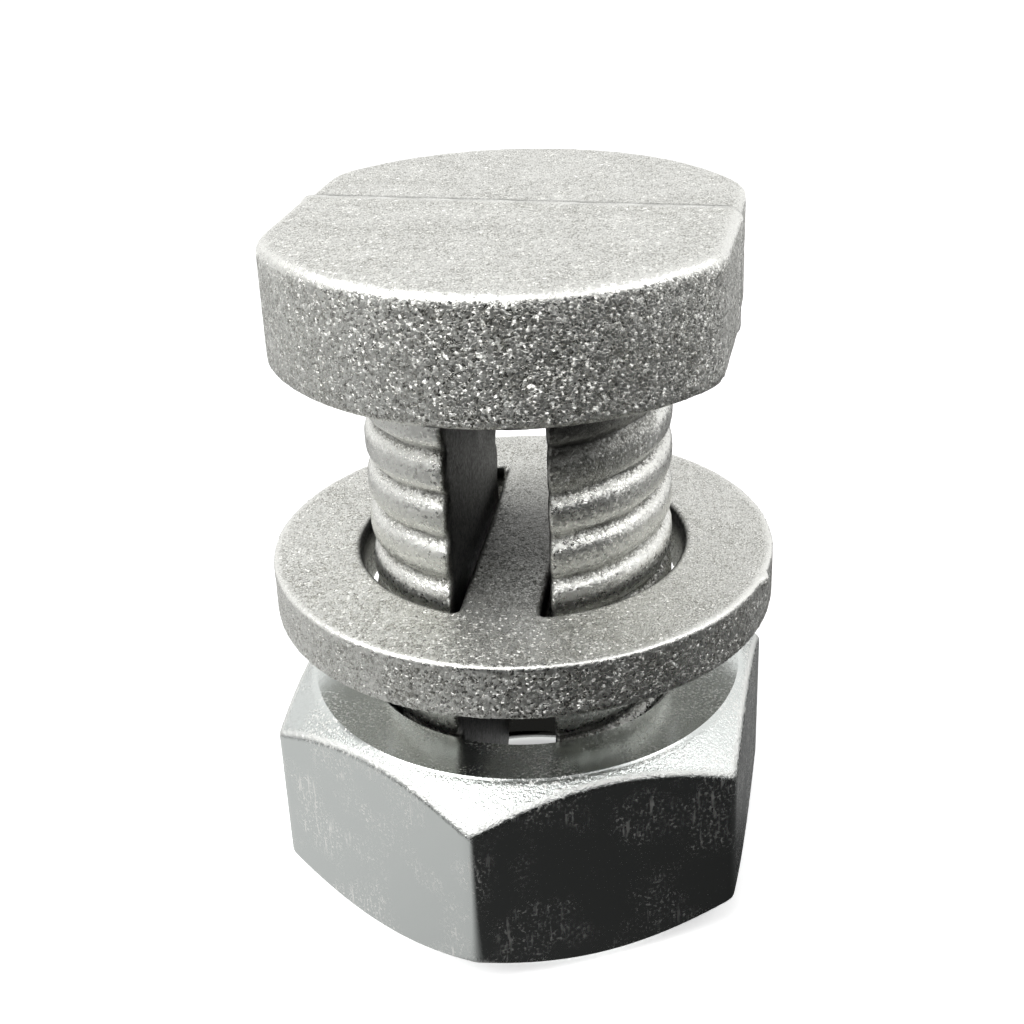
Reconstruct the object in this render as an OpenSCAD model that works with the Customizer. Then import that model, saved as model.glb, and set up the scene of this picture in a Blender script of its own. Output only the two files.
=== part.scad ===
// Split bolt connector: a cast split bolt, a cast saddle washer and a hex nut.
// The wires lie in the bolt's slot, between the head and the washer's bridge, and the nut
// clamps them. +Z is the bolt's axis. The wires run along Y. Z = 0 is the nut's lower face.

/* [Thread] */
// Outside diameter over the thread's crests
thread_d = 10.2; // [8:0.1:10.4]
// Distance from one turn of the thread to the next
thread_pitch = 1.5; // [1.25:0.05:1.75]
// Depth of the cast thread's groove
thread_depth = 0.5; // [0.3:0.05:0.7]

/* [Split bolt] */
// Diameter of the head
head_d = 16.1; // [15:0.1:18]
// Distance across the head's two flats
head_flats = 14.3; // [12.5:0.1:15]
// Turn of the head's flats against the slot
head_turn = -4; // [-6:0.5:6]
// Height of the head
head_h = 4.1; // [3:0.1:6]
// Radius of the head's upper edge
head_top_r = 0.4; // [0.2:0.05:0.8]
// Radius of the head's lower edge
head_under_r = 0.25; // [0.1:0.05:0.5]
// Width of the slot that takes the wires
slot_w = 3.1; // [2.6:0.1:3.6]
// Height of the space between the washer and the head
wire_gap = 7.4; // [5:0.1:9]
// How far the shank's end stands above the nut's lower face
end_lift = 0.4; // [0.1:0.1:2]

/* [Saddle washer] */
// Outside diameter of the washer
washer_d = 17; // [16:0.1:18]
// Diameter of the washer's hole, at the top
washer_hole_d = 11.1; // [11.1:0.1:13]
// How much less the hole's diameter is at the bottom, for the mould's draft
washer_draft = 0.5; // [0:0.1:0.6]
// Thickness of the washer and of its bridge
washer_t = 1.9; // [1.2:0.1:2.6]
// Width of the bridge that runs through the bolt's slot
bridge_w = 2.6; // [1.8:0.1:2.8]
// Radius of the washer's edges
washer_edge_r = 0.15; // [0.05:0.05:0.4]
// Height of the gap between the nut and the washer
washer_lift = 2.9; // [0.3:0.1:4]

/* [Nut] */
// Distance across the nut's flats
nut_flats = 15.8; // [15:0.1:17]
// Height of the nut
nut_h = 7.4; // [5:0.1:10]
// Diameter of the round faces that the chamfers leave
nut_face_d = 14.9; // [13:0.1:15]
// Slope of the chamfers
nut_chamfer = 36; // [15:1:45]
// Free space between the thread's crests and the nut's wall
nut_play = 0.15; // [0.05:0.05:0.3]
// Turn of the nut about its axis
nut_turn = -33.7; // [-60:0.1:60]

/* [Hidden] */
$fn = 96;

zinc = [0.66, 0.66, 0.62];
plated_steel = [0.55, 0.57, 0.55];

// Heights
washer_z = nut_h + washer_lift;
head_z = washer_z + washer_t + wire_gap;

// Thread. Each turn has rows_per_turn rows of points, which rise with the helix.
crest_r = thread_d / 2;
rows_per_turn = 6;
row_step = thread_pitch / rows_per_turn;
neck_h = 0.2;
rows = floor((head_z - neck_h - end_lift) / row_step);
thread_top = head_z - neck_h;
thread_z = thread_top - rows * row_step;
// Place of a groove's bottom at angle 0, and how sharply the groove cuts in
groove_z = 1.28;
groove_sharpness = 3;
// Plain ends: the shank's chamfered end, and the neck that runs into the head
end_drop = 0.6;
end_h = 0.7;
neck_drop = 0.4;
neck_run = 0.35;
neck_in_head = 0.3;
// Rows over which the ends turn from flat to helical
flat_rows = 5;

// Each half of the shank is an arc closed by the slot's flat wall.
half_slot = slot_w / 2;
arc_end = 68;
arc_steps = 20;

// Nut
nut_corner_d = nut_flats / cos(30);
nut_bore_r = crest_r + nut_play;
countersink_r = nut_bore_r + 0.35;
chamfer_reach = nut_corner_d / 2 + 1;
chamfer_drop = (chamfer_reach - nut_face_d / 2) * tan(nut_chamfer);

// Depth of the groove at height z and angle a: 0 on the crests, 1 at the bottom
function groove(z, a) =
    let (turns = (z - groove_z) / thread_pitch - a / 360,
         part = turns - floor(turns))
    pow(1 - 2 * min(part, 1 - part), groove_sharpness);

// Radius of the shank at height z and angle a
function shank_r(z, a) =
    let (end_r = crest_r - end_drop * max(0, 1 - (z - thread_z) / end_h),
         neck_r = crest_r - neck_drop * max(0, 1 - (thread_top - z) / neck_run))
    min(crest_r - thread_depth * groove(z, a), end_r, neck_r);

// How far a row rises along its arc: none at the ends, the helix's rise in between
function rise(row) = min(1, row / flat_rows, (rows - row) / flat_rows);

// A point on the shank's outside, and one where the outside meets the slot's wall
function arc_point(row, a, turn) =
    let (z = thread_z + row * row_step + thread_pitch * a / 360 * rise(row),
         r = shank_r(z, a + turn))
    [r * cos(a + turn), r * sin(a + turn), z];
function wall_point(row, side, turn) =
    let (a = side * acos(half_slot / crest_r),
         z = thread_z + row * row_step + thread_pitch * a / 360 * rise(row),
         r = shank_r(z, a + turn),
         y = side * sqrt(r * r - half_slot * half_slot))
    [half_slot * cos(turn), y * cos(turn), z];

// One ring of points round a half of the shank, at one row
function ring(row, turn) = concat(
    [wall_point(row, -1, turn)],
    [for (i = [0:arc_steps]) arc_point(row, -arc_end + 2 * arc_end * i / arc_steps, turn)],
    [wall_point(row, 1, turn)]);
function lifted(points, z) = [for (p = points) [p.x, p.y, z]];

// One half of the threaded shank. turn is 0 on the +X side and 180 on the other.
module shank_half(turn) {
    n = arc_steps + 3;
    last = rows + 1;
    points = concat(
        [for (row = [0:rows]) each ring(row, turn)],
        lifted(ring(rows, turn), head_z + neck_in_head));
    sides = [for (row = [0:last - 1]) for (i = [0:n - 1])
        let (a = row * n + i, b = row * n + (i + 1) % n)
        each [[a, a + n, b + n], [a, b + n, b]]];
    polyhedron(points, concat(
        sides,
        [[for (i = [0:n - 1]) i]],
        [[for (i = [n - 1:-1:0]) last * n + i]]));
}

// A rectangle from x = -w/2 to w/2 and from y = 0 to h, with its own radius at each end
module rounded_side(w, h, low_r, high_r) {
    translate([-w / 2, low_r]) square([w, h - low_r - high_r]);
    translate([-w / 2 + low_r, 0]) square([w - 2 * low_r, low_r * 2]);
    translate([-w / 2 + high_r, h - high_r * 2]) square([w - 2 * high_r, high_r * 2]);
    for (side = [-1, 1]) {
        translate([side * (w / 2 - low_r), low_r]) circle(low_r);
        translate([side * (w / 2 - high_r), h - high_r]) circle(high_r);
    }
}

// The same outline turned about Z
module rounded_disc(d, h, low_r, high_r) {
    rotate_extrude()
        intersection() {
            rounded_side(d, h, low_r, high_r);
            square([d, h]);
        }
}

// Split bolt: a round head with two flats, on a threaded shank that the slot splits in two
module split_bolt() {
    color(zinc)
        union() {
            translate([0, 0, head_z])
                intersection() {
                    rounded_disc(head_d, head_h, head_under_r, head_top_r);
                    rotate([90, 0, head_turn])
                        linear_extrude(head_d + 2, center = true)
                            rounded_side(head_flats, head_h, head_under_r, head_top_r);
                }
            shank_half(0);
            shank_half(180);
        }
}

// Saddle washer: a flat ring with a bridge across its hole, flush with both faces
module saddle_washer() {
    // The cutter reaches past both faces with the same draft
    over = 1;
    over_d = washer_draft * over / washer_t;
    color(zinc)
        translate([0, 0, washer_z]) {
            difference() {
                rounded_disc(washer_d, washer_t, washer_edge_r, washer_edge_r);
                translate([0, 0, -over])
                    cylinder(
                        d1 = washer_hole_d - washer_draft - over_d,
                        d2 = washer_hole_d + over_d,
                        h = washer_t + 2 * over
                    );
            }
            bridge_l = washer_hole_d + 1;
            translate([-bridge_w / 2, -bridge_l / 2, 0]) cube([bridge_w, bridge_l, washer_t]);
        }
}

// Hex nut, chamfered above and below
module hex_nut() {
    color(plated_steel)
        difference() {
            intersection() {
                rotate(nut_turn) cylinder(d = nut_corner_d, h = nut_h, $fn = 6);
                rotate_extrude()
                    polygon([
                        [0, 0],
                        [nut_face_d / 2, 0],
                        [chamfer_reach, chamfer_drop],
                        [chamfer_reach, nut_h - chamfer_drop],
                        [nut_face_d / 2, nut_h],
                        [0, nut_h]]);
            }
            translate([0, 0, -1]) cylinder(r = nut_bore_r, h = nut_h + 2);
            // Countersinks, at 45 degrees
            for (end = [0, 1])
                translate([0, 0, end * nut_h])
                    mirror([0, 0, end])
                        translate([0, 0, -1])
                            cylinder(r1 = countersink_r + 1, r2 = nut_bore_r - 0.2,
                                     h = countersink_r + 1 - nut_bore_r + 0.2);
        }
}

split_bolt();
saddle_washer();
hex_nut();
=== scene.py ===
"""Split bolt connector: a cast split bolt, a cast saddle washer and a plated hex nut.

Sizes are in metres. +Z is the bolt's axis, the wires run along Y, and the front is -Y.
"""
import math

import bpy
from bpy.props import FloatProperty, FloatVectorProperty, IntProperty, PointerProperty
from mathutils import Matrix, Vector, noise


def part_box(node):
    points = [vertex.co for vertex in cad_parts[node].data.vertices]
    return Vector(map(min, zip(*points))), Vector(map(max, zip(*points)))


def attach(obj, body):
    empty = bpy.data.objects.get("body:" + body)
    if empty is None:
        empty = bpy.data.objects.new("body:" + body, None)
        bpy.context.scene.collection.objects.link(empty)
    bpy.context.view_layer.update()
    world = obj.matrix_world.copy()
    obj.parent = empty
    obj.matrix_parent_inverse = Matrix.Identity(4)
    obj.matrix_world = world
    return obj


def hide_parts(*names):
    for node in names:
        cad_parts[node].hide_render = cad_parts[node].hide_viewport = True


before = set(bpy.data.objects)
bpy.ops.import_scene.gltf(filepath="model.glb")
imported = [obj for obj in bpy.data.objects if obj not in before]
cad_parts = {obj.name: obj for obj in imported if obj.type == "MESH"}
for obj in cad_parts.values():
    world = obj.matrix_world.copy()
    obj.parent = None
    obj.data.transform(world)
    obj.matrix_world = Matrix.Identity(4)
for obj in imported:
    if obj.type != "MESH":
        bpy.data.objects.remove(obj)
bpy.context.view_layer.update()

bl_info = {
    "name": "Split bolt connector",
    "version": (1, 0, 0),
    "blender": (4, 5, 0),
    "location": "View3D > Sidebar > Connector",
    "description": "Makes a cast split bolt with its saddle washer and hex nut",
    "category": "Add Mesh",
}

MM = 0.001
BOLT_LOW, BOLT_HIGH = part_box("split_bolt")
WASHER_LOW, WASHER_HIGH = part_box("saddle_washer")
NUT_LOW, NUT_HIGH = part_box("hex_nut")

# How finely the pieces are made
BOLT_NET = 0.14 * MM
WASHER_NET = 0.11 * MM
SHANK_GRID = (160, 190)
NUT_CORE_GRID = (144, 140)
RING_ROWS, HOLE_ROWS = 32, 4
CARD_STEPS = 8

# Joins, and rounding that isn't a size of its own
OVERLAP = 0.5 * MM
HEAD_CORNER = 0.5 * MM
NECK_RUN = 0.55 * MM
END_FADE = 12.0
LEAST_COSINE = 0.02

# The castings' lumps: how many to a millimetre, and how each seed shifts them
FINE_LUMPS, BROAD_LUMPS, BROAD_SHARE = 3.1, 0.9, 0.8
SEED_SHIFT = (1.37, 2.11, 0.73)

# The stub of the casting's gate on the washer's rim
GATE_TURN = math.radians(-14)
GATE_BELOW_TOP = 0.25 * MM
GATE_CORE, GATE_SPREAD = 0.1 * MM, 0.3 * MM
GATE_OUT = 0.14 * MM

# The floor and the world, as reflections and the camera see them
FLOOR_Z = -0.03 * MM
FLOOR_HALF = 2
FLOOR_GLOW = 0.48
WORLD_FILL, WORLD_SEEN = 0.6, 1.0


# ---------------------------------------------------------------- properties

def length(name, description, default):
    """A size in metres."""
    return FloatProperty(name=name, description=description, default=default,
                         subtype="DISTANCE", unit="LENGTH", precision=5)


def colour(name, description, default):
    """A linear colour."""
    return FloatVectorProperty(name=name, description=description, default=default,
                               subtype="COLOR", size=3, min=0.0, max=1.0)


class ThreadSizes(bpy.types.PropertyGroup):
    """The cast thread, which the nut's thread follows."""
    crest_r: length("Crest radius", "Radius of the shank over the thread's crests",
                    5.1 * MM)
    pitch: length("Pitch", "Distance from one turn to the next", 1.5 * MM)
    depth: length("Depth", "Depth of the groove", 0.52 * MM)
    place: length("Groove height", "Height of a groove's bottom on the +X side", 1.28 * MM)
    sharpness: FloatProperty(name="Sharpness", description="How sharply the groove cuts in",
                             default=4.0, min=1.0, max=6.0)
    play: length("Play", "Free space between the bolt's thread and the nut's", 0.12 * MM)


class BoltSizes(bpy.types.PropertyGroup):
    """The split bolt."""
    flats: length("Across flats", "Distance across the head's two flats", 14.3 * MM)
    turn: FloatProperty(name="Turn",
                        description="Turn of the head's flats against the slot",
                        default=math.radians(-4), subtype="ANGLE", unit="ROTATION")
    head_d: length("Head diameter", "Diameter of the head", BOLT_HIGH.y - BOLT_LOW.y)
    head_h: length("Head height", "Height of the head", 4.1 * MM)
    top_r: length("Upper edge", "Radius of the head's upper edge", 0.4 * MM)
    under_r: length("Lower edge", "Radius of the head's lower edge", 0.25 * MM)
    slot_w: length("Slot width", "Width of the slot that takes the wires", 3.1 * MM)
    slot_edge: length("Slot edge", "Rounding of the slot's edges", 0.3 * MM)
    seam_y: length("Parting line", "Place of the mould's parting line along Y", 0.75 * MM)
    seam_step: length("Parting step", "Step between the mould's halves", 0.1 * MM)


class WasherSizes(bpy.types.PropertyGroup):
    """The saddle washer."""
    hole_d: length("Hole diameter", "Diameter of the washer's hole", 11.1 * MM)
    draft: length("Draft", "How much less the hole's radius is at the bottom", 0.25 * MM)
    bridge_w: length("Bridge width", "Width of the bridge across the hole", 2.6 * MM)
    edge_r: length("Edge radius", "Radius of the washer's edges", 0.12 * MM)


class NutSizes(bpy.types.PropertyGroup):
    """The hex nut."""
    flats: length("Across flats", "Distance across the nut's flats", 15.8 * MM)
    face_d: length("Face diameter", "Diameter of the round faces", 14.9 * MM)
    chamfer: FloatProperty(name="Chamfer", description="Slope of the chamfers",
                           default=math.radians(36), subtype="ANGLE", unit="ROTATION")
    turn: FloatProperty(name="Turn", description="Direction that one flat faces, from +X",
                        default=math.radians(-3.7), subtype="ANGLE", unit="ROTATION")
    worn_edge: length("Worn edges", "Rounding of the edges by wear", 0.3 * MM)
    countersink: length("Countersink", "Depth of the countersinks", 0.35 * MM)


class Finish(bpy.types.PropertyGroup):
    """Colours of the metals, and the grain of the castings."""
    zinc_dark: colour("Casting, dark", "Dark colour of the casting's grain",
                      (0.28, 0.275, 0.235))
    zinc_light: colour("Casting, light", "Light colour of the casting's grain",
                       (0.90, 0.90, 0.86))
    # The next colour is near-black painted shade for the slot, the thread grooves, the
    # neck, the washer's hole and bridge, and the nut's bore
    painted_shade_colour: colour("Casting, dull", "Colour where the casting was never rubbed",
                      (0.026, 0.026, 0.024))
    grain: length("Grain", "Size of the casting's grain", 0.092 * MM)
    plate: colour("Plated steel", "Colour of the nut's plating", (0.71, 0.74, 0.72))
    lump_h: length("Lumps", "Height of the casting's lumps", 0.010 * MM)
    seed: IntProperty(name="Seed", description="Seed of the lumps", default=7)


class StageSizes(bpy.types.PropertyGroup):
    """The camera, the floor and the light."""
    azimuth: FloatProperty(name="Azimuth", description="Direction of the camera",
                           default=math.radians(9.43), subtype="ANGLE", unit="ROTATION")
    elevation: FloatProperty(name="Elevation", description="Height of the camera",
                             default=math.radians(26.73), subtype="ANGLE", unit="ROTATION")
    roll: FloatProperty(name="Roll", description="Tilt of the camera",
                        default=math.radians(-2.29), subtype="ANGLE", unit="ROTATION")
    distance: length("Distance", "From the camera to what it looks at", 56.3 * MM)
    target_z: length("Target height", "Height of the point that the camera looks at",
                     13.09 * MM)
    target_x: length("Target side", "Shift of that point to the camera's right", -0.12 * MM)
    lens: FloatProperty(name="Lens", description="Focal length on a 36 mm sensor, in mm",
                        default=58.1)
    shift: FloatProperty(name="Shift", description="Sideways shift of the lens",
                         default=-0.006)
    floor: colour("Floor", "Colour of the floor", (0.9, 0.9, 0.9))


# ---------------------------------------------------------------- node trees

class Tree:
    """A geometry or shader node tree, built one node at a time."""

    def __init__(self, tree):
        self.tree = tree
        self.ins = None

    def put(self, socket, value):
        """Links a socket to an output, or sets its value."""
        if isinstance(value, bpy.types.NodeSocket):
            self.tree.links.new(value, socket)
        else:
            socket.default_value = value

    def node(self, kind, *values, **settings):
        """Adds a node. Values go to its inputs in order, and None leaves one as it is."""
        made = self.tree.nodes.new(kind)
        for name, value in settings.items():
            setattr(made, name, value)
        for socket, value in zip(made.inputs, values):
            if value is not None:
                self.put(socket, value)
        return made

    def math(self, operation, *values):
        """The result of a Math node."""
        return self.node("ShaderNodeMath", *values, operation=operation).outputs[0]


def geometry_tree(name, inputs):
    """A geometry tree with the inputs named: (name, socket type, default)."""
    tree = bpy.data.node_groups.new(name, "GeometryNodeTree")
    for label, kind, default in inputs:
        socket = tree.interface.new_socket(label, in_out="INPUT", socket_type=kind)
        if default is not None:
            socket.default_value = default
    tree.interface.new_socket("Geometry", in_out="OUTPUT", socket_type="NodeSocketGeometry")
    build = Tree(tree)
    build.ins = tree.nodes.new("NodeGroupInput").outputs
    return build


def round_grid(t, around, rows):
    """A closed drum of radius 1, with the angle and the height (0 to 1) of each point."""
    drum = t.node("GeometryNodeMeshCylinder", around, rows, 1, 1.0, 1.0).outputs["Mesh"]
    place = t.node("ShaderNodeSeparateXYZ", t.node("GeometryNodeInputPosition").outputs[0])
    x, y, z = place.outputs
    return drum, t.math("ARCTAN2", y, x), t.math("ADD", z, 0.5)


def set_points(t, mesh, radius, angle, height):
    """Moves the points to a radius, an angle and a height about Z."""
    x = t.math("MULTIPLY", radius, t.math("COSINE", angle))
    y = t.math("MULTIPLY", radius, t.math("SINE", angle))
    place = t.node("ShaderNodeCombineXYZ", x, y, height).outputs[0]
    return t.node("GeometryNodeSetPosition", mesh, None, place).outputs[0]


def finish_tree(t, mesh):
    """Ends a tree with Realize Instances and Set Material."""
    real = t.node("GeometryNodeRealizeInstances", mesh).outputs[0]
    done = t.node("GeometryNodeSetMaterial", real, None, t.ins["Material"]).outputs[0]
    t.put(t.tree.nodes.new("NodeGroupOutput").inputs[0], done)
    return t.tree


def thread_radius(t, height, angle):
    """The thread's radius at a height and an angle, from the tree's own inputs."""
    above = t.math("SUBTRACT", height, t.ins["Place"])
    turns = t.math("SUBTRACT", t.math("DIVIDE", above, t.ins["Pitch"]),
                   t.math("DIVIDE", angle, 2 * math.pi))
    part = t.math("FRACT", turns)
    to_groove = t.math("MINIMUM", part, t.math("SUBTRACT", 1.0, part))
    rest = t.math("SUBTRACT", 1.0, t.math("MULTIPLY", to_groove, 2.0))
    groove = t.math("POWER", rest, t.ins["Sharpness"])
    return t.math("SUBTRACT", t.ins["Crest radius"],
                  t.math("MULTIPLY", t.ins["Depth"], groove))


THREAD_INPUTS = [
    ("Crest radius", "NodeSocketFloat", 5 * MM),
    ("Pitch", "NodeSocketFloat", 1.5 * MM),
    ("Depth", "NodeSocketFloat", 0.5 * MM),
    ("Place", "NodeSocketFloat", 0.0),
    ("Sharpness", "NodeSocketFloat", 2.4),
    ("Bottom", "NodeSocketFloat", 0.0),
    ("Top", "NodeSocketFloat", 10 * MM),
    ("Around", "NodeSocketInt", 160),
    ("Rows", "NodeSocketInt", 120),
    ("Material", "NodeSocketMaterial", None),
]


def shank_tree():
    """Both halves of a threaded shank, with flat inner walls and rounded slot edges."""
    t = geometry_tree("Split threaded shank", THREAD_INPUTS + [
        ("Half slot", "NodeSocketFloat", 1.5 * MM),
        ("Slot edge", "NodeSocketFloat", 0.3 * MM),
        ("Middle", "NodeSocketFloat", 2.8 * MM),
        ("End drop", "NodeSocketFloat", 0.6 * MM),
        ("End height", "NodeSocketFloat", 0.7 * MM),
        ("Neck top", "NodeSocketFloat", 10 * MM),
        ("Neck drop", "NodeSocketFloat", 0.4 * MM),
    ])
    halves = t.tree.nodes.new("GeometryNodeJoinGeometry")
    for half in (0, 1):
        drum, around, part = round_grid(t, t.ins["Around"], t.ins["Rows"])
        cosine, sine = t.math("COSINE", around), t.math("SINE", around)
        middle = t.ins["Middle"]
        offside = t.math("MULTIPLY", middle, sine)
        level = t.math("ADD", t.ins["Bottom"], t.math(
            "MULTIPLY", part, t.math("SUBTRACT", t.ins["Top"], t.ins["Bottom"])))
        # Distance along each direction from the half's middle to the slot's wall
        wall = t.math("DIVIDE", t.math("SUBTRACT", middle, t.ins["Half slot"]),
                      t.math("MAXIMUM", t.math("MULTIPLY", cosine, -1.0), LEAST_COSINE))

        def outline(radius):
            """The outline's point where the shank has that radius."""
            square = t.math("SUBTRACT", t.math("MULTIPLY", radius, radius),
                            t.math("MULTIPLY", offside, offside))
            reach = t.math("SUBTRACT", t.math("SQRT", square),
                           t.math("MULTIPLY", middle, cosine))
            reach = t.math("SMOOTH_MIN", reach, wall, t.ins["Slot edge"])
            return (t.math("ADD", middle, t.math("MULTIPLY", reach, cosine)),
                    t.math("MULTIPLY", reach, sine))

        x, y = outline(t.ins["Crest radius"])
        angle = t.math("ARCTAN2", y, x)
        ends = t.math("MINIMUM", part, t.math("SUBTRACT", 1.0, part))
        rise = t.math("MINIMUM", 1.0, t.math("MULTIPLY", ends, END_FADE))
        climb = t.math("MULTIPLY", t.math("DIVIDE", angle, 2 * math.pi), t.ins["Pitch"])
        z = t.math("ADD", level, t.math("MULTIPLY", climb, rise))
        radius = thread_radius(t, z, t.math("ADD", angle, half * math.pi))
        over_end = t.math("SUBTRACT", z, t.ins["Bottom"])
        to_end = t.math("DIVIDE", over_end, t.ins["End height"])
        drop = t.math("MULTIPLY", t.ins["End drop"],
                      t.math("MAXIMUM", 0.0, t.math("SUBTRACT", 1.0, to_end)))
        radius = t.math("MINIMUM", radius, t.math("SUBTRACT", t.ins["Crest radius"], drop))
        to_neck = t.math("DIVIDE", t.math("SUBTRACT", t.ins["Neck top"], z), NECK_RUN)
        drop = t.math("MULTIPLY", t.ins["Neck drop"],
                      t.math("MAXIMUM", 0.0, t.math("SUBTRACT", 1.0, to_neck)))
        radius = t.math("MINIMUM", radius, t.math("SUBTRACT", t.ins["Crest radius"], drop))
        x, y = outline(radius)
        side = 1.0 - 2.0 * half
        place = t.node("ShaderNodeCombineXYZ", t.math("MULTIPLY", x, side),
                       t.math("MULTIPLY", y, side), z).outputs[0]
        moved = t.node("GeometryNodeSetPosition", drum, None, place).outputs[0]
        t.tree.links.new(moved, halves.inputs[0])
    return finish_tree(t, halves.outputs[0])


def nut_core_tree():
    """The threaded core that is cut out of the nut, with a countersink at both faces."""
    t = geometry_tree("Nut core", THREAD_INPUTS + [
        ("Nut height", "NodeSocketFloat", 8 * MM),
        ("Countersink radius", "NodeSocketFloat", 5.5 * MM),
    ])
    drum, angle, part = round_grid(t, t.ins["Around"], t.ins["Rows"])
    z = t.math("ADD", t.ins["Bottom"], t.math(
        "MULTIPLY", part, t.math("SUBTRACT", t.ins["Top"], t.ins["Bottom"])))
    radius = thread_radius(t, z, angle)
    inside = t.math("MINIMUM", z, t.math("SUBTRACT", t.ins["Nut height"], z))
    sink = t.math("SUBTRACT", t.ins["Countersink radius"], inside)
    return finish_tree(t, set_points(t, drum, t.math("MAXIMUM", radius, sink), angle, z))


def hex_blank_tree():
    """A hexagonal blank with turned chamfers and worn edges."""
    t = geometry_tree("Hex blank", [
        ("Height", "NodeSocketFloat", 8 * MM),
        ("Half flats", "NodeSocketFloat", 8 * MM),
        ("Face radius", "NodeSocketFloat", 7.5 * MM),
        ("Chamfer run", "NodeSocketFloat", 1.73),
        ("Worn edge", "NodeSocketFloat", 0.2 * MM),
        ("Turn", "NodeSocketFloat", 0.0),
        ("Around", "NodeSocketInt", 576),
        ("Rows", "NodeSocketInt", 72),
        ("Material", "NodeSocketMaterial", None),
    ])
    drum, angle, part = round_grid(t, t.ins["Around"], t.ins["Rows"])
    # Rows lie closer together near both faces
    swing = t.math("COSINE", t.math("MULTIPLY", part, math.pi))
    share = t.math("MULTIPLY", t.math("SUBTRACT", 1.0, swing), 0.5)
    z = t.math("MULTIPLY", share, t.ins["Height"])
    local = t.math("WRAP", angle, math.pi / 6, -math.pi / 6)
    flat = t.math("DIVIDE", t.ins["Half flats"], t.math("COSINE", local))
    edge = t.math("MINIMUM", z, t.math("SUBTRACT", t.ins["Height"], z))
    cone = t.math("ADD", t.ins["Face radius"],
                  t.math("MULTIPLY", edge, t.ins["Chamfer run"]))
    corner = t.math("SUBTRACT", t.math("MULTIPLY", t.ins["Half flats"], 2 / math.sqrt(3)),
                    t.math("MULTIPLY", t.ins["Worn edge"], 0.25))
    radius = t.math("SMOOTH_MIN", flat, cone, t.ins["Worn edge"])
    radius = t.math("SMOOTH_MIN", radius, corner,
                    t.math("MULTIPLY", t.ins["Worn edge"], 0.5))
    turned = t.math("ADD", angle, t.ins["Turn"])
    return finish_tree(t, set_points(t, drum, radius, turned, z))


def disc_tree():
    """A cast disc with rounded edges and two flats, for the head and the washer's ring."""
    t = geometry_tree("Cast disc", [
        ("Radius", "NodeSocketFloat", 8 * MM),
        ("Half flats", "NodeSocketFloat", 7 * MM),
        ("Bottom", "NodeSocketFloat", 0.0),
        ("Top", "NodeSocketFloat", 4 * MM),
        ("Upper edge", "NodeSocketFloat", 0.4 * MM),
        ("Lower edge", "NodeSocketFloat", 0.2 * MM),
        ("Corner", "NodeSocketFloat", 0.5 * MM),
        ("Turn", "NodeSocketFloat", 0.0),
        ("Around", "NodeSocketInt", 360),
        ("Rows", "NodeSocketInt", 64),
        ("Material", "NodeSocketMaterial", None),
    ])
    drum, angle, part = round_grid(t, t.ins["Around"], t.ins["Rows"])
    swing = t.math("COSINE", t.math("MULTIPLY", part, math.pi))
    share = t.math("MULTIPLY", t.math("SUBTRACT", 1.0, swing), 0.5)
    z = t.math("ADD", t.ins["Bottom"], t.math(
        "MULTIPLY", share, t.math("SUBTRACT", t.ins["Top"], t.ins["Bottom"])))
    inset = 0.0
    for edge, face in (("Upper edge", t.math("SUBTRACT", t.ins["Top"], z)),
                       ("Lower edge", t.math("SUBTRACT", z, t.ins["Bottom"]))):
        r = t.ins[edge]
        over = t.math("MAXIMUM", 0.0, t.math("SUBTRACT", r, face))
        chord = t.math("SQRT", t.math("MAXIMUM", 0.0, t.math(
            "SUBTRACT", t.math("MULTIPLY", r, r), t.math("MULTIPLY", over, over))))
        inset = t.math("ADD", inset, t.math("SUBTRACT", r, chord))
    flat = t.math("DIVIDE", t.math("SUBTRACT", t.ins["Half flats"], inset),
                  t.math("MAXIMUM", LEAST_COSINE,
                         t.math("ABSOLUTE", t.math("COSINE", angle))))
    radius = t.math("SMOOTH_MIN", t.math("SUBTRACT", t.ins["Radius"], inset), flat,
                    t.ins["Corner"])
    turned = t.math("ADD", angle, t.ins["Turn"])
    return finish_tree(t, set_points(t, drum, radius, turned, z))


# ---------------------------------------------------------------- mesh tools

def new_object(name, mesh):
    """A new object at the origin, in the scene."""
    made = bpy.data.objects.new(name, mesh)
    bpy.context.scene.collection.objects.link(made)
    return made


def evaluated_mesh(name, holder):
    """The mesh that an object has with its modifiers. The object is then deleted."""
    bpy.context.view_layer.update()
    graph = bpy.context.evaluated_depsgraph_get()
    mesh = bpy.data.meshes.new_from_object(holder.evaluated_get(graph))
    mesh.name = name
    holder.modifiers.clear()
    bpy.data.objects.remove(holder)
    return mesh


def tree_mesh(name, tree, **values):
    """The mesh that a geometry tree makes. Inputs are given by name, with _ for spaces."""
    holder = new_object(name, bpy.data.meshes.new(name))
    modifier = holder.modifiers.new("Shape", "NODES")
    modifier.node_group = tree
    sockets = {item.name.lower().replace(" ", "_"): item.identifier
               for item in tree.interface.items_tree if item.in_out == "INPUT"}
    for key, value in values.items():
        modifier[sockets[key]] = value
    return evaluated_mesh(name, holder)


def box_mesh(name, low, high):
    """A box from its lowest corner to its highest."""
    low, high = Vector(low), Vector(high)
    corners = [(x, y, z) for z in (low.z, high.z) for y in (low.y, high.y)
               for x in (low.x, high.x)]
    faces = [(0, 2, 3, 1), (4, 5, 7, 6), (0, 1, 5, 4),
             (2, 6, 7, 3), (0, 4, 6, 2), (1, 3, 7, 5)]
    mesh = bpy.data.meshes.new(name)
    mesh.from_pydata(corners, [], faces)
    return mesh


def combined(name, mesh, other, operation):
    """One mesh joined with another, or cut by it."""
    base, tool = new_object(name, mesh), new_object(name + "_tool", other)
    modifier = base.modifiers.new("Combine", "BOOLEAN")
    modifier.operation, modifier.object, modifier.solver = operation, tool, "MANIFOLD"
    done = evaluated_mesh(name, base)
    bpy.data.objects.remove(tool)
    return done


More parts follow.
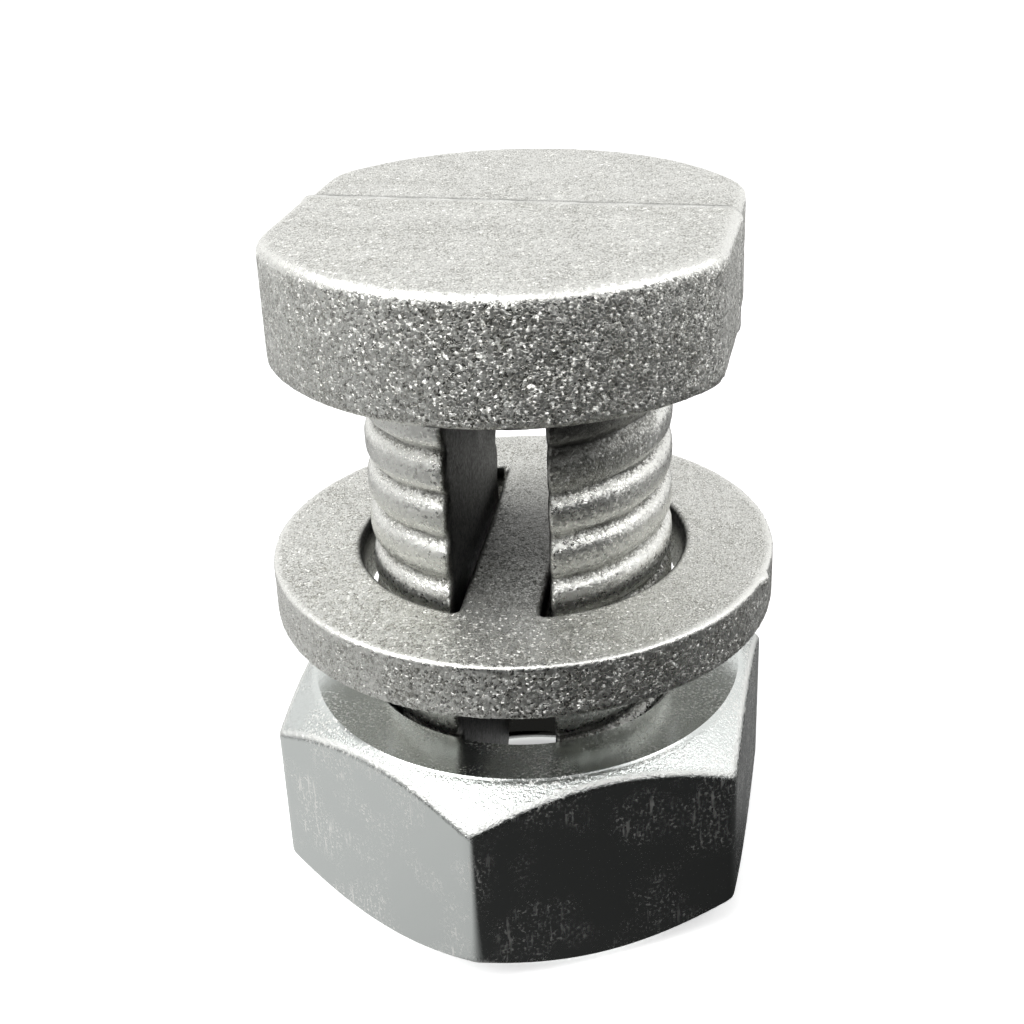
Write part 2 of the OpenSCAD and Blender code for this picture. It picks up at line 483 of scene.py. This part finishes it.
def remeshed(name, mesh, step):
    """The same skin as an even net of small faces, with its edges slightly softened."""
    mesh.transform(Matrix.Scale(1 / MM, 4))
    holder = new_object(name, mesh)
    modifier = holder.modifiers.new("Net", "REMESH")
    modifier.mode, modifier.voxel_size, modifier.use_smooth_shade = "VOXEL", step / MM, True
    done = evaluated_mesh(name, holder)
    done.transform(Matrix.Scale(MM, 4))
    return done


def roughened(mesh, height, seed):
    """Raises and lowers the points of a casting's skin by small lumps."""
    shift = Vector([seed * step for step in SEED_SHIFT])
    moves = []
    for vertex in mesh.vertices:
        spot = vertex.co / MM
        fine = noise.noise(spot * FINE_LUMPS + shift)
        broad = noise.noise(spot * BROAD_LUMPS - shift)
        moves.append(vertex.normal * height * (fine + BROAD_SHARE * broad))
    for vertex, move in zip(mesh.vertices, moves):
        vertex.co += move


def near(distance, reach):
    """1 at no distance or less, and falling to 0 at the reach."""
    return min(1.0, max(0.0, 1.0 - distance / reach))


def worn(mesh, wear):
    """Keeps each point's mark: 1 is bright, from rubbing and from painted highlights, 0 is
    plain and -1 is painted shade.
    """
    kept = mesh.attributes.new("wear", "FLOAT", "POINT")
    kept.data.foreach_set("value", [wear(vertex.co) for vertex in mesh.vertices])


def dressed(name, mesh, material, body, node):
    """A finished piece that stands for a CAD node and moves with its body."""
    mesh.materials.clear()
    mesh.materials.append(material)
    piece = new_object(name, mesh)
    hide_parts(node)
    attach(piece, body)


# ---------------------------------------------------------------- materials

def material(name):
    """A new material with its Principled shader and its object coordinates."""
    made = bpy.data.materials.new(name)
    made.use_nodes = True
    t = Tree(made.node_tree)
    shader = made.node_tree.nodes["Principled BSDF"]
    spot = t.node("ShaderNodeTexCoord").outputs["Object"]
    in_mm = t.node("ShaderNodeVectorMath", spot, None, None, 1 / MM, operation="SCALE")
    return made, t, shader, in_mm.outputs[0]


def noise_value(t, spot, size, detail=2.0, rough=0.5):
    """A noise whose features have that size. spot is in millimetres and size in metres."""
    made = t.node("ShaderNodeTexNoise", spot)
    made.inputs["Scale"].default_value = MM / size
    made.inputs["Detail"].default_value = detail
    made.inputs["Roughness"].default_value = rough
    return made.outputs[0]


def spread(t, value, low, high, to_low=0.0, to_high=1.0):
    """Maps a value from one range to another, held at its ends."""
    made = t.node("ShaderNodeMapRange", value, low, high, to_low, to_high)
    return made.outputs[0]


def seen_ray(t):
    """1 for rays that the camera sees directly, in metal or through glass, or else 0."""
    path = t.node("ShaderNodeLightPath").outputs
    return t.math("MAXIMUM", path["Is Camera Ray"], t.math(
        "MAXIMUM", path["Is Glossy Ray"], path["Is Transmission Ray"]))


def mixed(t, share, first, second):
    """One colour turning into another."""
    made = t.node("ShaderNodeMix", data_type="RGBA")
    t.put(made.inputs["Factor"], share)
    for socket, value in ((made.inputs[6], first), (made.inputs[7], second)):
        t.put(socket, value if isinstance(value, bpy.types.NodeSocket) else (*value, 1.0))
    return made.outputs[2]


def wear_shares(t):
    """How far each point is bright, from rubbing and from painted highlights, and how far
    it is painted shade, from 0 to 1.
    """
    wear = t.node("ShaderNodeAttribute", attribute_name="wear").outputs["Fac"]
    return (spread(t, wear, 0.0, 1.0), spread(t, wear, 0.0, -1.0))


def tumbled_zinc():
    """Bare cast zinc, tumbled: small tilted bright facets in darker veins."""
    finish = bpy.context.scene.connector_finish
    made, t, shader, spot = material("tumbled_zinc")
    brightened, painted_shade = wear_shares(t)
    bend = t.node("ShaderNodeTexNoise", spot)
    bend.inputs["Scale"].default_value = 1.7 * MM / finish.grain
    shift = t.node("ShaderNodeVectorMath", bend.outputs["Color"], (0.5, 0.5, 0.5),
                   operation="SUBTRACT").outputs[0]
    shift = t.node("ShaderNodeVectorMath", shift, None, None, 0.9 * finish.grain / MM,
                   operation="SCALE").outputs[0]
    spot = t.node("ShaderNodeVectorMath", spot, shift, operation="ADD").outputs[0]
    cells = t.node("ShaderNodeTexVoronoi", spot)
    borders = t.node("ShaderNodeTexVoronoi", spot, feature="DISTANCE_TO_EDGE")
    for crystals in (cells, borders):
        crystals.inputs["Scale"].default_value = MM / finish.grain
    colour_of = cells.outputs["Color"]
    facet = t.node("ShaderNodeSeparateXYZ", colour_of).outputs[0]
    lean = t.node("ShaderNodeVectorMath", colour_of, (0.5, 0.5, 0.5),
                  operation="SUBTRACT").outputs[0]
    squared = t.node("ShaderNodeVectorMath", lean, lean, operation="MULTIPLY").outputs[0]
    lean = t.node("ShaderNodeVectorMath", lean, squared, operation="MULTIPLY").outputs[0]
    offset = t.node("ShaderNodeVectorMath", spot, cells.outputs["Position"],
                    operation="SUBTRACT").outputs[0]
    tilt = t.node("ShaderNodeVectorMath", lean, offset,
                  operation="DOT_PRODUCT").outputs["Value"]
    inside = spread(t, borders.outputs["Distance"], 0.02, 0.16)
    grain = noise_value(t, spot, finish.grain * 0.6, 2.0, 0.6)
    cloud = noise_value(t, spot, 1.6 * MM, 2.0)
    light = t.math("ADD", t.math("MULTIPLY", inside, 0.5),
                   t.math("ADD", t.math("MULTIPLY", facet, 0.3),
                          t.math("MULTIPLY", t.math("ADD", grain, cloud), 0.35)))
    plain = mixed(t, spread(t, light, 0.4, 0.9), finish.zinc_dark, finish.zinc_light)
    # Rubbed spots and painted highlights take the light colour, and painted shade takes the
    # near-black shade colour
    bright = mixed(t, brightened, plain, finish.zinc_light)
    t.put(shader.inputs["Base Color"], mixed(t, painted_shade, bright, finish.painted_shade_colour))
    rough = t.math("ADD", spread(t, facet, 0.0, 1.0, 0.24, 0.36),
                   t.math("MULTIPLY", painted_shade, 0.15))
    t.put(shader.inputs["Roughness"], rough)
    shader.inputs["Metallic"].default_value = 1.0
    tilt_share, vein_share, grain_share = 5.5, 0.006, 0.02
    height = t.math("ADD", t.math("MULTIPLY", tilt, tilt_share),
                    t.math("ADD", t.math("MULTIPLY", inside, vein_share),
                           t.math("MULTIPLY", grain, grain_share)))
    bump = t.node("ShaderNodeBump")
    t.put(bump.inputs["Strength"],
          spread(t, t.math("MAXIMUM", brightened, painted_shade), 0.0, 1.0, 1.0, 0.25))
    bump.inputs["Distance"].default_value = MM
    t.put(bump.inputs["Height"], height)
    t.put(shader.inputs["Normal"], bump.outputs[0])
    return made


def bright_plate():
    """Bright zinc plate on steel, with fine scratches and rubbed patches."""
    finish = bpy.context.scene.connector_finish
    made, t, shader, spot = material("bright_plate")
    edges, painted_shade = wear_shares(t)
    fine = noise_value(t, spot, 0.1 * MM, 3.0, 0.6)
    cloud = noise_value(t, spot, 2.2 * MM, 3.0)
    stretch = t.node("ShaderNodeMapping", spot)
    stretch.inputs["Scale"].default_value = (1.0, 1.0, 0.15)
    streak = noise_value(t, stretch.outputs[0], 0.14 * MM, 2.0, 0.7)
    specks = t.math("MULTIPLY", spread(t, fine, 0.56, 0.63), spread(t, cloud, 0.42, 0.56))
    scuffs = t.math("MULTIPLY", spread(t, streak, 0.56, 0.66), spread(t, cloud, 0.46, 0.58))
    brightened = t.math("MAXIMUM", specks,
                    t.math("MAXIMUM", scuffs, spread(t, edges, 0.5, 1.0)))
    tone = mixed(t, brightened, finish.plate, (0.93, 0.93, 0.9))
    # Painted shade in the nut's bore takes the near-black shade colour
    t.put(shader.inputs["Base Color"], mixed(t, painted_shade, tone, finish.painted_shade_colour))
    rough = t.math("ADD", spread(t, fine, 0.35, 0.7, 0.13, 0.22),
                   t.math("MULTIPLY", brightened, 0.35))
    t.put(shader.inputs["Roughness"], rough)
    shader.inputs["Metallic"].default_value = 1.0
    streak_share, cloud_share = 0.1, 1.2
    height = t.math("ADD", t.math("MULTIPLY", fine, spread(t, edges, 0.0, 1.0, 0.15, 4.0)),
                    t.math("ADD", t.math("MULTIPLY", streak, streak_share),
                           t.math("MULTIPLY", cloud, cloud_share)))
    bump = t.node("ShaderNodeBump")
    bump.inputs["Strength"].default_value = 0.6
    bump.inputs["Distance"].default_value = 0.03 * MM
    t.put(bump.inputs["Height"], height)
    t.put(shader.inputs["Normal"], bump.outputs[0])
    return made


def shared_material(make):
    """The material that a function makes, made once."""
    return bpy.data.materials.get(make.__name__) or make()


# ---------------------------------------------------------------- pieces

def thread_values(thread, grid):
    """The thread tree's inputs that the bolt and the nut share."""
    around, rows = grid
    return {"pitch": thread.pitch, "depth": thread.depth, "place": thread.place,
            "sharpness": thread.sharpness, "around": around, "rows": rows}


def split_bolt_mesh(scene):
    """The bolt's head and shank as one casting."""
    thread, sizes = scene.connector_thread, scene.connector_bolt
    head_z = BOLT_HIGH.z - sizes.head_h
    head = tree_mesh(
        "head", disc_tree(), radius=sizes.head_d / 2, half_flats=sizes.flats / 2,
        bottom=head_z, top=BOLT_HIGH.z, upper_edge=sizes.top_r, lower_edge=sizes.under_r,
        corner=HEAD_CORNER, turn=sizes.turn)
    shank = tree_mesh(
        "shank", shank_tree(), crest_radius=thread.crest_r, bottom=BOLT_LOW.z,
        top=head_z + OVERLAP, half_slot=sizes.slot_w / 2, slot_edge=sizes.slot_edge,
        neck_top=head_z, **thread_values(thread, SHANK_GRID))
    whole = combined("split_bolt_casting", head, shank, "UNION")
    return remeshed("split_bolt_casting", whole, BOLT_NET)


def parted(mesh, sizes, head_z):
    """Marks the mould's parting line: a small step and ridge across the head."""
    across = Vector((-math.sin(sizes.turn), math.cos(sizes.turn), 0))
    line_w, ridge_share, step_share = 0.16 * MM, 0.8, 0.5
    moves = []
    for vertex in mesh.vertices:
        past = (vertex.co.dot(across) - sizes.seam_y) / line_w
        ridge = ridge_share * math.exp(-past * past)
        step = step_share * (1 + math.tanh(2 * past))
        on_head = vertex.co.z > head_z
        moves.append(vertex.normal * (on_head * sizes.seam_step * (ridge - step)))
    for vertex, move in zip(mesh.vertices, moves):
        vertex.co += move


def bolt_wear(thread, sizes):
    """The bolt's rubbed bright edges and thread crests, painted highlights on the seam and
    the crests, and painted shade in the slot, the grooves and the neck.
    """
    head_z = BOLT_HIGH.z - sizes.head_h
    along = Vector((math.cos(sizes.turn), math.sin(sizes.turn), 0))
    across = Vector((-along.y, along.x, 0))
    # Painted shade on the slot's walls, fading out over slot_reach
    slot_reach = 0.18 * MM
    # Behind the parting line the slot's painted shade is weaker near the head, where more
    # light reaches the wall
    lit_y, lit_drop, lit_reach, lit_share = 0.15 * MM, 2.6 * MM, 2.2 * MM, 0.5
    # Painted shade in the thread's grooves
    groove_depth, groove_reach, groove_share = 0.42 * MM, 0.2 * MM, 0.7
    # The head's painted shadow lies on the neck from the middle to twice neck_x, and fades
    # past both
    neck_h, neck_reach, neck_share = 2 * MM, 1.6 * MM, 0.75
    neck_x, neck_side_reach = 1.5 * MM, 2 * MM
    # The crests are rubbed bright and brightened further as a painted highlight
    crest_depth, crest_share = 0.15 * MM, 0.8
    # Where the painted shade is less than this, the crests' brightening shows instead
    least_painted_shade = 0.1
    edge_w, edge_reach = 0.15 * MM, 0.3 * MM
    # A painted highlight along the seam's ridge
    ridge_w, ridge_reach = 0.14 * MM, 0.15 * MM
    # A painted shadow just behind the seam's step
    behind_y, behind_reach, behind_share = 0.42 * MM, 0.2 * MM, 0.7

    def on_shank(spot, radius, past):
        """Painted shade in the slot, the grooves and the neck, or else the crests rubbed
        bright and brightened further as a painted highlight.
        """
        slot = near(abs(spot.x) - sizes.slot_w / 2, slot_reach)
        if past > lit_y:
            slot *= 1 - lit_share * near(head_z - lit_drop - spot.z, lit_reach)
        groove = groove_share * near(radius - thread.crest_r + groove_depth, groove_reach)
        neck = neck_share * near(head_z - spot.z - neck_h, neck_reach)
        neck *= near(abs(spot.x - neck_x) - neck_x, neck_side_reach)
        crest = crest_share * near(thread.crest_r - crest_depth - radius, crest_depth)
        painted_shade = max(slot, groove, neck)
        return -painted_shade if painted_shade > least_painted_shade else crest

    def on_head(spot, radius, past):
        """Rubbed bright along the upper edge, a painted highlight along the seam, and a
        painted shadow just behind the seam.
        """
        side = min(sizes.head_d / 2 - radius, sizes.flats / 2 - abs(spot.dot(along)))
        edge = near(math.hypot(side, BOLT_HIGH.z - spot.z) - edge_w, edge_reach)
        ridge = near(abs(past) - ridge_w, ridge_reach)
        behind = behind_share * near(abs(past - behind_y), behind_reach)
        return max(edge, ridge) - behind

    def wear(spot):
        radius = math.hypot(spot.x, spot.y)
        past = spot.dot(across) - sizes.seam_y
        under_head = spot.z < head_z + 0.1 * MM
        return (on_shank if under_head else on_head)(spot, radius, past)

    return wear


def washer_wear(sizes):
    """The washer's rubbed bright upper edge, and painted shade on the hole and the bridge
    near the top.
    """
    edge_w, edge_reach = 0.1 * MM, 0.2 * MM
    # Painted shade on the bridge's sides where they meet the hole
    side_reach = 0.12 * MM
    # Painted shade on the bridge is darkest in the middle, where the shank shades it
    shade_r, shade_reach, shade_share = 1.5 * MM, 4.5 * MM, 0.75
    # Painted shade on the hole's wall; all the painted shade is full down to plain_depth
    # under the top and fades out over plain_reach
    hole_w, hole_reach = 0.05 * MM, 0.1 * MM
    plain_depth, plain_reach = 0.6 * MM, 0.4 * MM

    def wear(spot):
        radius = math.hypot(spot.x, spot.y)
        edge = near(math.hypot(WASHER_HIGH.x - radius, WASHER_HIGH.z - spot.z)
                    - edge_w, edge_reach)
        side = near(abs(abs(spot.x) - sizes.bridge_w / 2), side_reach)
        side *= near(radius - sizes.hole_d / 2 + hole_reach, hole_reach)
        painted_shade = max(side, shade_share * near(radius - shade_r, shade_reach))
        if abs(spot.x) > sizes.bridge_w / 2 + 0.15 * MM:
            painted_shade = near(abs(radius - sizes.hole_d / 2) - hole_w, hole_reach)
        return edge - painted_shade * near(WASHER_HIGH.z - plain_depth - spot.z, plain_reach)

    return wear


def nut_wear(thread, sizes):
    """The nut's rubbed bright edges, grainy chamfers, and painted shade on the thread in
    its bore.
    """
    rim_w, rim_reach, cone_share = 0.1 * MM, 0.3 * MM, 0.7
    chamfer_share, chamfer_reach = 0.45, 0.2 * MM
    face_w, face_reach = 0.05 * MM, 0.1 * MM
    # Painted shade on the thread in the bore
    bore_w, bore_reach = 0.3 * MM, 0.1 * MM

    def wear(spot):
        radius = math.hypot(spot.x, spot.y)
        angle = math.atan2(spot.y, spot.x) - sizes.turn
        local = (angle + math.pi / 6) % (math.pi / 3) - math.pi / 6
        flat = sizes.flats / 2 - radius * math.cos(local)
        edge = min(spot.z, NUT_HIGH.z - NUT_LOW.z - spot.z)
        cone = sizes.face_d / 2 + edge / math.tan(sizes.chamfer) - radius
        rim = near(abs(flat - rim_w) + abs(cone) * cone_share, rim_reach)
        chamfer = chamfer_share * near(abs(cone), chamfer_reach)
        chamfer *= 1 - near(edge - face_w, face_reach)
        bore = near(radius - thread.crest_r - bore_w, bore_reach)
        return max(rim, chamfer) - bore

    return wear


def nubbed(mesh):
    """Leaves the stub of the casting's gate on the washer's rim."""
    gate = Vector((WASHER_HIGH.x * math.cos(GATE_TURN), WASHER_HIGH.x * math.sin(GATE_TURN),
                   WASHER_HIGH.z - GATE_BELOW_TOP))
    for vertex in mesh.vertices:
        share = near((vertex.co - gate).length - GATE_CORE, GATE_SPREAD)
        outward = Vector((vertex.co.x, vertex.co.y, 0)).normalized()
        vertex.co += outward * share * GATE_OUT


class CONNECTOR_OT_split_bolt(bpy.types.Operator):
    """Make the cast split bolt"""
    bl_idname = "connector.split_bolt"
    bl_label = "Split bolt"

    def execute(self, context):
        scene = context.scene
        sizes = scene.connector_bolt
        mesh = split_bolt_mesh(scene)
        parted(mesh, sizes, BOLT_HIGH.z - sizes.head_h)
        worn(mesh, bolt_wear(scene.connector_thread, sizes))
        roughened(mesh, scene.connector_finish.lump_h, scene.connector_finish.seed)
        dressed("split_bolt_casting", mesh, shared_material(tumbled_zinc),
                "bolt", "split_bolt")
        return {"FINISHED"}


class CONNECTOR_OT_saddle_washer(bpy.types.Operator):
    """Make the cast saddle washer"""
    bl_idname = "connector.saddle_washer"
    bl_label = "Saddle washer"

    def execute(self, context):
        scene = context.scene
        sizes = scene.connector_washer
        low, high = WASHER_LOW.z, WASHER_HIGH.z
        tree = disc_tree()
        ring = tree_mesh(
            "ring", tree, radius=WASHER_HIGH.x, half_flats=1.0, bottom=low, top=high,
            upper_edge=sizes.edge_r, lower_edge=sizes.edge_r, corner=0.0,
            rows=RING_ROWS)
        hole = tree_mesh(
            "hole", tree, radius=sizes.hole_d / 2, half_flats=1.0, bottom=low - MM,
            top=high + MM, upper_edge=0.0, lower_edge=0.0, corner=0.0,
            rows=HOLE_ROWS)
        for vertex in hole.vertices:
            share = (high - vertex.co.z) / (high - low)
            vertex.co.xy *= 1 - sizes.draft * share / (sizes.hole_d / 2)
        ring = combined("saddle_washer_casting", ring, hole, "DIFFERENCE")
        reach = sizes.hole_d / 2 + OVERLAP
        bridge = box_mesh("bridge", (-sizes.bridge_w / 2, -reach, low),
                          (sizes.bridge_w / 2, reach, high))
        whole = combined("saddle_washer_casting", ring, bridge, "UNION")
        mesh = remeshed("saddle_washer_casting", whole, WASHER_NET)
        worn(mesh, washer_wear(sizes))
        nubbed(mesh)
        roughened(mesh, scene.connector_finish.lump_h, scene.connector_finish.seed + 1)
        dressed("saddle_washer_casting", mesh, shared_material(tumbled_zinc),
                "washer", "saddle_washer")
        return {"FINISHED"}


class CONNECTOR_OT_hex_nut(bpy.types.Operator):
    """Make the plated hex nut"""
    bl_idname = "connector.hex_nut"
    bl_label = "Hex nut"

    def execute(self, context):
        scene = context.scene
        thread, sizes = scene.connector_thread, scene.connector_nut
        height = NUT_HIGH.z - NUT_LOW.z
        blank = tree_mesh(
            "blank", hex_blank_tree(), height=height, half_flats=sizes.flats / 2,
            face_radius=sizes.face_d / 2, chamfer_run=1 / math.tan(sizes.chamfer),
            worn_edge=sizes.worn_edge, turn=sizes.turn)
        wall = thread.crest_r + thread.play
        core = tree_mesh(
            "core", nut_core_tree(), crest_radius=wall, bottom=-MM, top=height + MM,
            nut_height=height, countersink_radius=wall + sizes.countersink,
            **thread_values(thread, NUT_CORE_GRID))
        mesh = combined("hex_nut_plated", blank, core, "DIFFERENCE")
        for face in mesh.polygons:
            face.use_smooth = True
        mesh.set_sharp_from_angle(angle=math.radians(30))
        worn(mesh, nut_wear(thread, sizes))
        dressed("hex_nut_plated", mesh, shared_material(bright_plate),
                "nut", "hex_nut")
        return {"FINISHED"}


# ---------------------------------------------------------------- stage

def area_light(name, place, aim, width, height, power):
    """A soft rectangular lamp that points at a spot."""
    data = bpy.data.lights.new(name, "AREA")
    data.shape, data.size, data.size_y, data.energy = "RECTANGLE", width, height, power
    lamp = new_object(name, data)
    lamp.location = place
    lamp.rotation_euler = (Vector(aim) - Vector(place)).to_track_quat("-Z", "Y").to_euler()


def floor_sheet(shade):
    """The pale floor."""
    mesh = bpy.data.meshes.new("floor")
    corners = [(x * FLOOR_HALF, y * FLOOR_HALF, FLOOR_Z)
               for x, y in ((-1, -1), (1, -1), (1, 1), (-1, 1))]
    mesh.from_pydata(corners, [], [(0, 1, 2, 3)])
    made, t, shader, _ = material("floor")
    shader.inputs["Emission Color"].default_value = (1, 1, 1, 1)
    t.put(shader.inputs["Emission Strength"], t.math("MULTIPLY", seen_ray(t), FLOOR_GLOW))
    shader.inputs["Base Color"].default_value = (*shade, 1)
    shader.inputs["Roughness"].default_value = 1.0
    shader.inputs["Specular IOR Level"].default_value = 0.0
    mesh.materials.append(made)
    new_object("floor", mesh)


def card(name, profile, glows):
    """A studio card about the object that only shows in the metal's reflections.

    The profile gives its radii and heights in mm. The glows give its brightness at each
    direction in degrees: straight ahead is 0, and the right is positive.
    """
    points, shares, faces = [], [], []
    for (first, start), (last, end) in zip(glows, glows[1:]):
        for i in range(CARD_STEPS):
            share = i / (CARD_STEPS - 1)
            turn = math.radians(first + (last - first) * share)
            for radius, z in profile:
                points.append(Vector((math.sin(turn) * radius, -math.cos(turn) * radius, z))
                              * MM)
                shares.append(start + (end - start) * share)
    width = len(profile)
    for i in range(len(points) // width - 1):
        for j in range(width - 1):
            k = width * i + j
            faces.append((k, k + 1, k + width + 1, k + width))
    mesh = bpy.data.meshes.new(name)
    mesh.from_pydata(points, [], faces)
    kept = mesh.attributes.new("glow", "FLOAT", "POINT")
    kept.data.foreach_set("value", shares)
    made, t, shader, _ = material(name)
    shader.inputs["Base Color"].default_value = (0, 0, 0, 1)
    shader.inputs["Specular IOR Level"].default_value = 0.0
    shader.inputs["Emission Color"].default_value = (1, 1, 1, 1)
    t.put(shader.inputs["Emission Strength"],
          t.node("ShaderNodeAttribute", attribute_name="glow").outputs["Fac"])
    mesh.materials.append(made)
    piece = new_object(name, mesh)
    piece.visible_camera = False
    piece.visible_shadow = False
    piece.visible_diffuse = False


class CONNECTOR_OT_stage(bpy.types.Operator):
    """Make the floor, the lights and the camera"""
    bl_idname = "connector.stage"
    bl_label = "Stage"

    def execute(self, context):
        scene = context.scene
        sizes = scene.connector_stage
        scene.view_settings.view_transform = "Standard"

        world = bpy.data.worlds.new("studio")
        scene.world = world
        world.use_nodes = True
        t = Tree(world.node_tree)
        background = world.node_tree.nodes["Background"].inputs
        background["Color"].default_value = (1, 1, 1, 1)
        t.put(background["Strength"],
              spread(t, seen_ray(t), 0.0, 1.0, WORLD_FILL, WORLD_SEEN))

        floor_sheet(sizes.floor)
        area_light("key", (-0.06, -0.06, 0.13), (0, 0, 0.012), 0.14, 0.12, 0.17)
        area_light("low", (-0.11, -0.06, 0.05), (0, 0, 0.014), 0.07, 0.05, 0.06)
        area_light("side", (0.1, -0.03, 0.09), (0, 0, 0.014), 0.1, 0.08, 0.05)
        card("high_card", [(0, 150), (75, 150)], [(-180, 0.55), (180, 0.55)])
        card("near_card", [(6, 0.1), (26, 0.1)],
             [(-180, 0.35), (-140, 0.45), (-110, 0.75), (-75, 0.68), (-14, 0.55), (2, 0.03),
              (60, 0.02), (85, 0.04), (100, 0.12), (150, 0.2), (180, 0.35)])
        card("far_card", [(26, 0.1), (52, 0.1), (56, 50)],
             [(-105, 0.6), (-75, 0.3), (-45, 0.08), (-15, 0.02), (30, 0.01), (60, 0.02),
              (85, 0.1)])
        card("back_card", [(26, 0.1), (90, 0.1)],
             [(85, 0.1), (110, 0.2), (145, 0.2), (175, 0.15), (220, 0.3), (255, 0.6)])

        data = bpy.data.cameras.new("camera")
        camera = new_object("camera", data)
        data.lens, data.shift_x = sizes.lens, sizes.shift
        data.clip_start, data.clip_end = 0.001, 10.0
        a, e, roll = sizes.azimuth, sizes.elevation, sizes.roll
        back = Vector((math.sin(a) * math.cos(e), -math.cos(a) * math.cos(e), math.sin(e)))
        right = Vector((math.cos(a), math.sin(a), 0))
        up = back.cross(right)
        turned_right = right * math.cos(roll) + up * math.sin(roll)
        turned_up = up * math.cos(roll) - right * math.sin(roll)
        facing = Matrix((turned_right, turned_up, back)).transposed().to_4x4()
        target = Vector((0, 0, sizes.target_z)) + right * sizes.target_x
        camera.matrix_world = Matrix.Translation(target + back * sizes.distance) @ facing
        scene.camera = camera
        return {"FINISHED"}


# ---------------------------------------------------------------- add-on

class CONNECTOR_PT_panel(bpy.types.Panel):
    """Sizes, colours and buttons of the connector"""
    bl_idname = "CONNECTOR_PT_panel"
    bl_label = "Split bolt connector"
    bl_space_type = "VIEW_3D"
    bl_region_type = "UI"
    bl_category = "Connector"

    def draw(self, context):
        for name in GROUPS:
            column = self.layout.column(align=True)
            group = getattr(context.scene, name)
            for key in group.bl_rna.properties.keys():
                if key not in ("rna_type", "name"):
                    column.prop(group, key)
        for operator in OPERATORS:
            self.layout.operator(operator.bl_idname)


GROUPS = {
    "connector_thread": ThreadSizes,
    "connector_bolt": BoltSizes,
    "connector_washer": WasherSizes,
    "connector_nut": NutSizes,
    "connector_finish": Finish,
    "connector_stage": StageSizes,
}
OPERATORS = (CONNECTOR_OT_split_bolt, CONNECTOR_OT_saddle_washer, CONNECTOR_OT_hex_nut,
             CONNECTOR_OT_stage)


def register():
    """Registers the classes and puts the property groups on the scene."""
    for cls in (*GROUPS.values(), *OPERATORS, CONNECTOR_PT_panel):
        bpy.utils.register_class(cls)
    for name, cls in GROUPS.items():
        setattr(bpy.types.Scene, name, PointerProperty(type=cls))


def unregister():
    """Undoes register."""
    for name in GROUPS:
        delattr(bpy.types.Scene, name)
    for cls in reversed((*GROUPS.values(), *OPERATORS, CONNECTOR_PT_panel)):
        bpy.utils.unregister_class(cls)


def main():
    """Makes every piece and the stage."""
    register()
    bpy.ops.connector.split_bolt()
    bpy.ops.connector.saddle_washer()
    bpy.ops.connector.hex_nut()
    bpy.ops.connector.stage()


if __name__ == "__main__":
    main()
